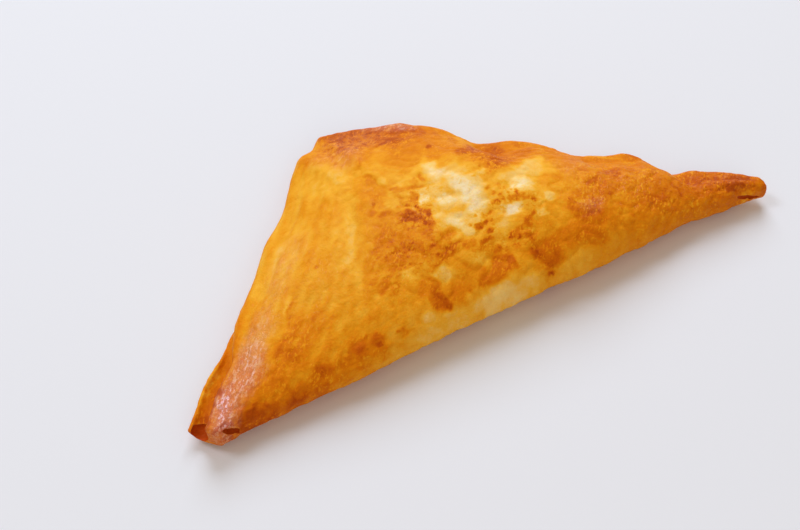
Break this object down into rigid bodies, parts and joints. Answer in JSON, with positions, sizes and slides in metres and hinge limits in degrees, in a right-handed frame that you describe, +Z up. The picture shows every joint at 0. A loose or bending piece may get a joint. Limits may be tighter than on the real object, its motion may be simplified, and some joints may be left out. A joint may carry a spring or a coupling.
{
  "type": "brik",
  "caption": "Fried pastry triangle: a thin sheet folded over its filling, with a rounded long side, a seam on the two short sides and pinched tips.",
  "frame": {"origin": "centre of the bounding box in plan, on the surface the pastry lies on", "axes": "+X along the folded long side from the gaping tip to the thin tip, +Y from the fold to the blunt apex, +Z up"},
  "size_m": [0.232, 0.1044, 0.0276],
  "materials": {
    "crust": "fried golden pastry, lightly oiled, with browned and pale patches"
  },
  "bodies": {
    "root": {"folded_pastry": "crust"}
  },
  "joints": []
}
